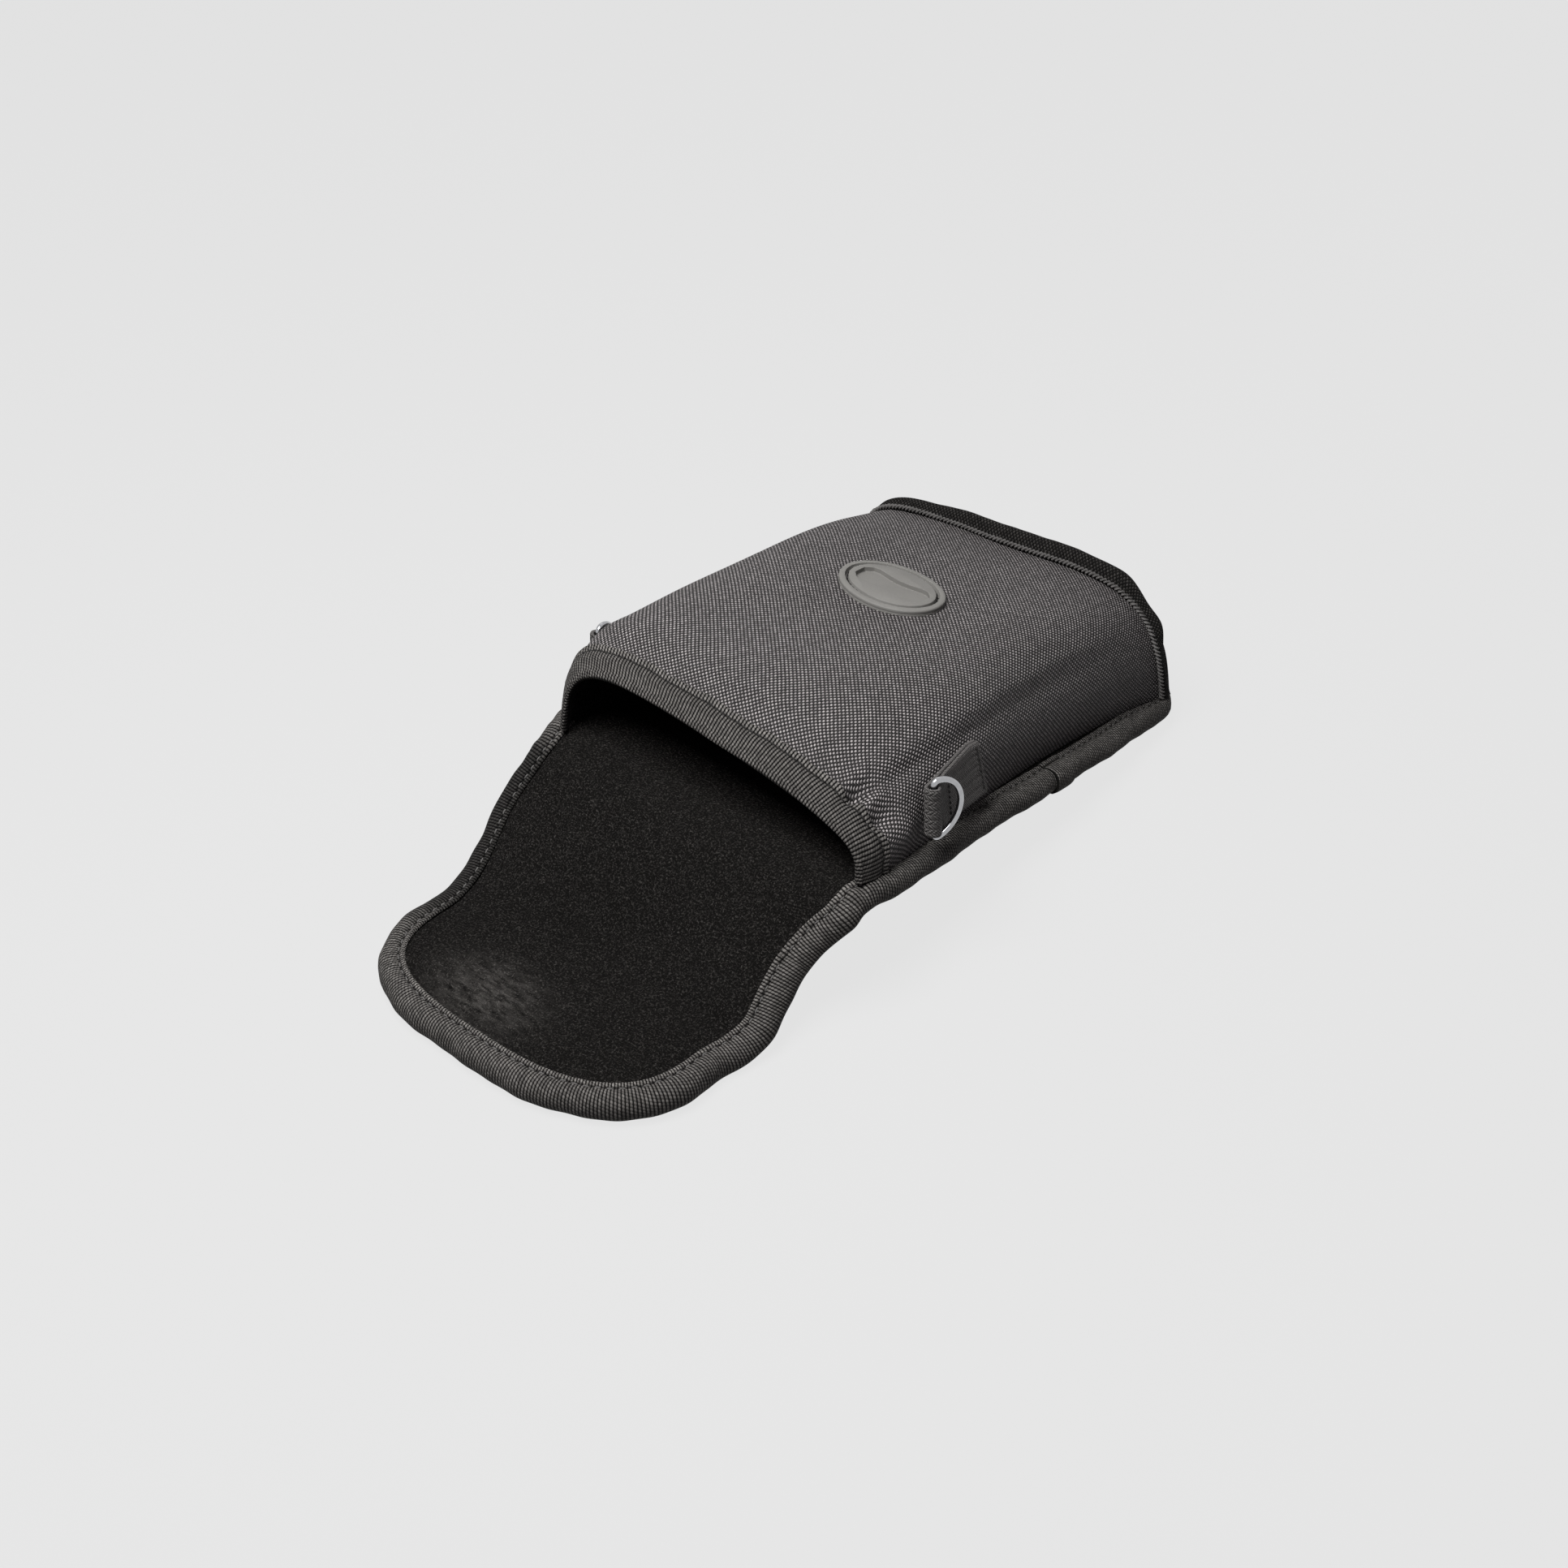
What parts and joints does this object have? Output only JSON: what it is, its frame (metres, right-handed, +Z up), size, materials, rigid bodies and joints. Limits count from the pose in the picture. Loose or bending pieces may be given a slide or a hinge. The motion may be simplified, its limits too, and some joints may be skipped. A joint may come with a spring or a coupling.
{
  "type": "binocular pouch",
  "caption": "Soft padded pouch for binoculars, lying on its back with its flap folded open in front of the mouth; a webbing tab with a D-ring on each side.",
  "frame": {"origin": "on the surface that the pouch lies on, under the middle of its bounding box", "axes": "+X across the pouch, to the right of a viewer who looks into the mouth; +Y from the mouth to the closed bottom end; +Z up, out of the pouch's front"},
  "size_m": [0.1578, 0.3158, 0.0781],
  "materials": {
    "outer_fabric": "coarse plain-weave polyester, mid grey with light and dark threads",
    "black_canvas": "fine matt black canvas",
    "lining": "brushed black loop cloth",
    "padding": "closed-cell foam sheet, hidden inside the cloth",
    "binding_tape": "ribbed black-grey grosgrain tape",
    "webbing": "flat black nylon webbing",
    "ring_steel": "bright plated round wire",
    "closure_steel": "plain round plates, hidden in the padding",
    "badge_rubber": "matt grey moulded soft rubber"
  },
  "bodies": {
    "pouch": {"front_shell_fabric": "outer_fabric", "front_shell_foam": "padding", "front_shell_lining": "lining", "mouth_binding": "binding_tape", "end_panel_lining": "lining", "end_panel_foam": "padding", "end_panel_fabric": "black_canvas", "end_flange_binding": "black_canvas", "back_panel_lining": "lining", "back_panel_foam": "padding", "back_panel_fabric": "black_canvas", "back_binding_right": "binding_tape", "back_binding_end": "binding_tape", "back_binding_left": "binding_tape", "binding_lap": "binding_tape", "badge": "badge_rubber", "closure_keeper": "closure_steel", "ring_tab_right": "webbing", "ring_tab_left": "webbing"},
    "flap_neck": {"flap_neck_lining": "lining", "flap_neck_foam": "padding", "flap_neck_fabric": "black_canvas", "flap_neck_binding_right": "binding_tape", "flap_neck_binding_left": "binding_tape"},
    "flap_tip": {"flap_tip_lining": "lining", "flap_tip_foam": "padding", "flap_tip_fabric": "black_canvas", "flap_tip_binding": "binding_tape", "flap_magnet": "closure_steel"},
    "ring_right": {"ring_right": "ring_steel"},
    "ring_left": {"ring_left": "ring_steel"}
  },
  "joints": [
    {"name": "mouth_fold", "type": "hinge", "parent": "pouch", "child": "flap_neck", "pos_m": [0, -0.05087, 0.04324], "axis": [-1, 0, 0], "range_deg": [-10, 136]},
    {"name": "tip_fold", "type": "hinge", "parent": "flap_neck", "child": "flap_tip", "pos_m": [0, -0.09626, 0.0091], "axis": [-1, 0, 0], "range_deg": [-36, 62]},
    {"name": "ring_right_swing", "type": "hinge", "parent": "pouch", "child": "ring_right", "pos_m": [0.0744, -0.0143, 0.05594], "axis": [0.0698, -0.0157, -0.9974], "range_deg": [-3, 160]},
    {"name": "ring_left_swing", "type": "hinge", "parent": "pouch", "child": "ring_left", "pos_m": [-0.0744, -0.0143, 0.05594], "axis": [0.0698, 0.0157, 0.9974], "range_deg": [-3, 160]}
  ]
}
